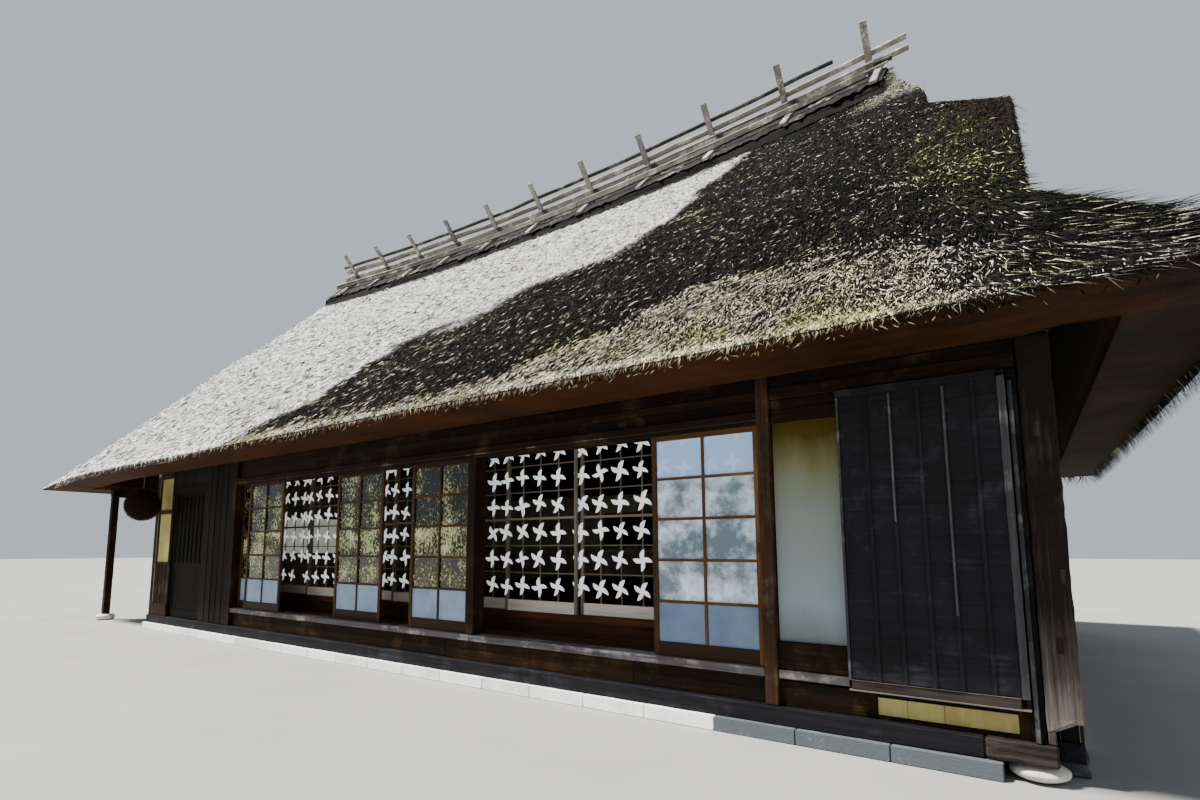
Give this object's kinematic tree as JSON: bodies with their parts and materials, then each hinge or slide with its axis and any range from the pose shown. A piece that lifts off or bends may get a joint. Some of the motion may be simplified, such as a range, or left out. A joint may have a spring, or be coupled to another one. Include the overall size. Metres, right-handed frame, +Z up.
{
  "type": "thatched farmhouse",
  "caption": "Old timber farmhouse with a deep helmet-shaped straw roof, sliding glass and lattice doors along the front, a boarded shutter box and a porch end.",
  "frame": {"origin": "on the ground under the centre of the roof's outline", "axes": "+X along the front towards the shutter box end, +Y from the front to the back, +Z up"},
  "size_m": [15.68, 10.05, 8.1361],
  "materials": {
    "straw": "cut and combed rice or reed straw, weathered grey-beige with green moss",
    "bark": "dark bark sheets over straw",
    "weathered_wood": "bare wood weathered silver grey",
    "dark_wood": "old wood darkened by soot and oil",
    "brown_wood": "reddish brown oiled wood",
    "floor_wood": "worn floor boards",
    "plaster": "matt lime plaster on clay, stained",
    "glass": "clear and frosted sheet glass",
    "stone": "rough pale stone",
    "cedar_leaf": "dry clipped cedar leaves"
  },
  "bodies": {
    "house": {"roof_thatch": "straw", "ridge_cap": "bark", "ridge_frame": "weathered_wood", "gable_wall_right": "plaster", "gable_wall_left": "plaster", "kerb_front": "stone", "kerb_back": "stone", "kerb_left": "stone", "kerb_right": "stone", "corner_stone": "stone", "ground_beam_front": "dark_wood", "ground_beam_back": "dark_wood", "ground_beam_left": "dark_wood", "ground_beam_right": "dark_wood", "corner_post_right": "weathered_wood", "jamb_post": "dark_wood", "door_post_left": "dark_wood", "bay_post": "dark_wood", "door_track": "weathered_wood", "door_head": "dark_wood", "wall_front_right": "plaster", "wall_over_doors": "dark_wood", "wall_front_left": "plaster", "boarded_wall_left": "dark_wood", "wall_back": "plaster", "wall_right": "plaster", "wall_left": "plaster", "eave_plate_front": "dark_wood", "eave_plate_back": "dark_wood", "eave_plate_right": "dark_wood", "shutter_box": "dark_wood", "veranda_floor": "floor_wood", "room_floor": "floor_wood", "inner_track": "brown_wood", "inner_head": "brown_wood", "porch_plate": "dark_wood", "porch_post_front": "dark_wood", "porch_post_middle": "dark_wood", "porch_post_back": "dark_wood", "cedar_ball": "cedar_leaf"},
    "door_1": {"door_1_frame": "brown_wood", "door_1_glass": "glass"},
    "door_2": {"door_2_frame": "brown_wood", "door_2_glass": "glass"},
    "door_3": {"door_3_frame": "brown_wood", "door_3_glass": "glass"},
    "door_4": {"door_4_frame": "brown_wood", "door_4_glass": "glass"},
    "door_5": {"door_5_frame": "brown_wood", "door_5_glass": "glass"},
    "entry_door": {"entry_door": "dark_wood"},
    "lattice_1": {"lattice_panel_1": "weathered_wood"},
    "lattice_2": {"lattice_panel_2": "weathered_wood"},
    "lattice_3": {"lattice_panel_3": "weathered_wood"},
    "lattice_4": {"lattice_panel_4": "weathered_wood"},
    "lattice_5": {"lattice_panel_5": "weathered_wood"},
    "lattice_6": {"lattice_panel_6": "weathered_wood"},
    "lattice_7": {"lattice_panel_7": "weathered_wood"},
    "lattice_8": {"lattice_panel_8": "weathered_wood"}
  },
  "joints": [
    {"name": "door_1_slide", "type": "slide", "parent": "house", "child": "door_1", "axis": [1, 0, 0], "range_m": [0, 0.7]},
    {"name": "door_2_slide", "type": "slide", "parent": "house", "child": "door_2", "axis": [1, 0, 0], "range_m": [-0.295, 1.2]},
    {"name": "door_3_slide", "type": "slide", "parent": "house", "child": "door_3", "axis": [1, 0, 0], "range_m": [-0.7, 1.46]},
    {"name": "door_4_slide", "type": "slide", "parent": "house", "child": "door_4", "axis": [1, 0, 0], "range_m": [-1.385, 0]},
    {"name": "door_5_slide", "type": "slide", "parent": "house", "child": "door_5", "axis": [1, 0, 0], "range_m": [-1.965, 0]},
    {"name": "entry_door_slide", "type": "slide", "parent": "house", "child": "entry_door", "axis": [1, 0, 0], "range_m": [0, 0.845]},
    {"name": "lattice_1_slide", "type": "slide", "parent": "house", "child": "lattice_1", "axis": [1, 0, 0], "range_m": [0, 0.945]},
    {"name": "lattice_2_slide", "type": "slide", "parent": "house", "child": "lattice_2", "axis": [1, 0, 0], "range_m": [-0.945, 0]},
    {"name": "lattice_3_slide", "type": "slide", "parent": "house", "child": "lattice_3", "axis": [1, 0, 0], "range_m": [0, 0.945]},
    {"name": "lattice_4_slide", "type": "slide", "parent": "house", "child": "lattice_4", "axis": [1, 0, 0], "range_m": [-0.945, 0]},
    {"name": "lattice_5_slide", "type": "slide", "parent": "house", "child": "lattice_5", "axis": [1, 0, 0], "range_m": [0, 0.945]},
    {"name": "lattice_6_slide", "type": "slide", "parent": "house", "child": "lattice_6", "axis": [1, 0, 0], "range_m": [-0.945, 0]},
    {"name": "lattice_7_slide", "type": "slide", "parent": "house", "child": "lattice_7", "axis": [1, 0, 0], "range_m": [0, 0.945]},
    {"name": "lattice_8_slide", "type": "slide", "parent": "house", "child": "lattice_8", "axis": [1, 0, 0], "range_m": [-0.945, 0]}
  ]
}
